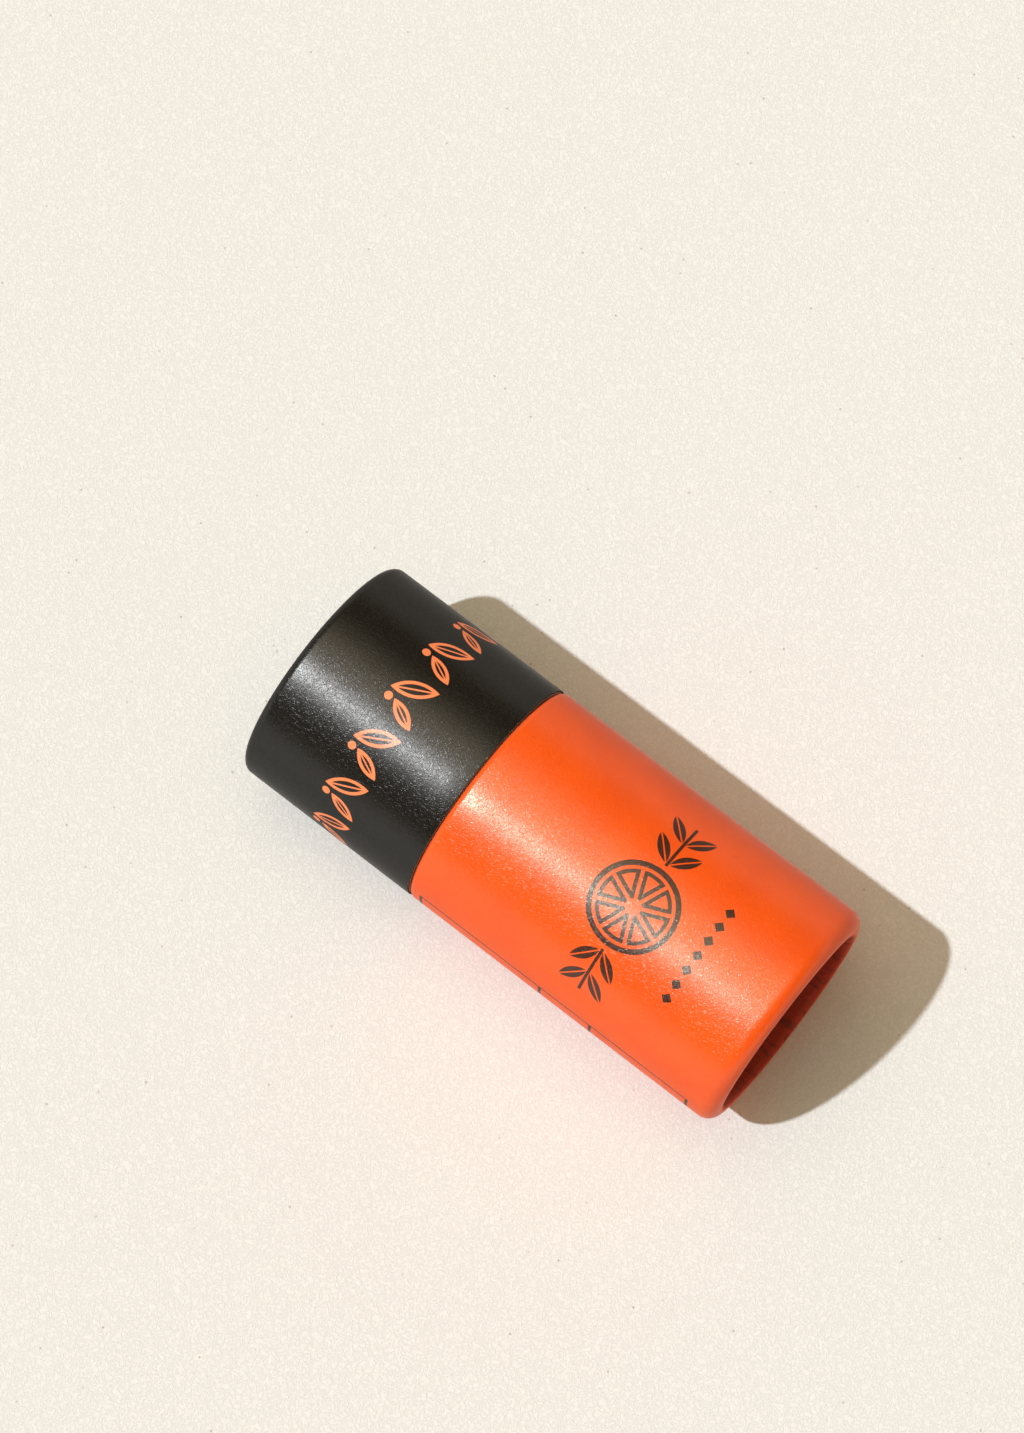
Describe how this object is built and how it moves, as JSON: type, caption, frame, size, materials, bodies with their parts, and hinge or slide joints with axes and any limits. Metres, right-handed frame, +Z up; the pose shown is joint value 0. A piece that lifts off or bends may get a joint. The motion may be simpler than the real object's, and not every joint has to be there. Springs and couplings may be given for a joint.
{
  "type": "lip balm stick",
  "caption": "Round push-up paperboard lip balm tube with a rolled open base, a stick of balm on a push-up disc, and a pull-off cap that slides on a neck.",
  "frame": {"origin": "under the middle of the tube's overall length, on the surface that it lies on", "axes": "+X along the tube's axis from the base to the cap, +Z up from the surface"},
  "size_m": [0.0606, 0.026, 0.026],
  "materials": {
    "orange_paper": "satin printed",
    "black_paper": "matt printed",
    "board": "matt",
    "neck_board": "matt",
    "greaseproof": "satin",
    "balm": "waxy"
  },
  "bodies": {
    "tube": {"body_wrap": "orange_paper", "outer_tube": "board", "neck_tube": "neck_board", "neck_liner": "greaseproof"},
    "pusher": {"pusher_skirt": "board", "pusher_disc": "board", "pusher_seal_disc": "greaseproof", "balm": "balm"},
    "cap": {"cap_wrap": "black_paper", "cap_tube": "board", "cap_end_disc": "board", "cap_face_paper": "black_paper", "cap_end_liner": "greaseproof"}
  },
  "joints": [
    {"name": "push_up", "type": "slide", "parent": "tube", "child": "pusher", "axis": [1, 0, 0], "range_m": [0, 0.0411]},
    {"name": "cap_pull", "type": "slide", "parent": "pusher", "child": "cap", "axis": [1, 0, 0], "range_m": [0, 0.024]}
  ]
}
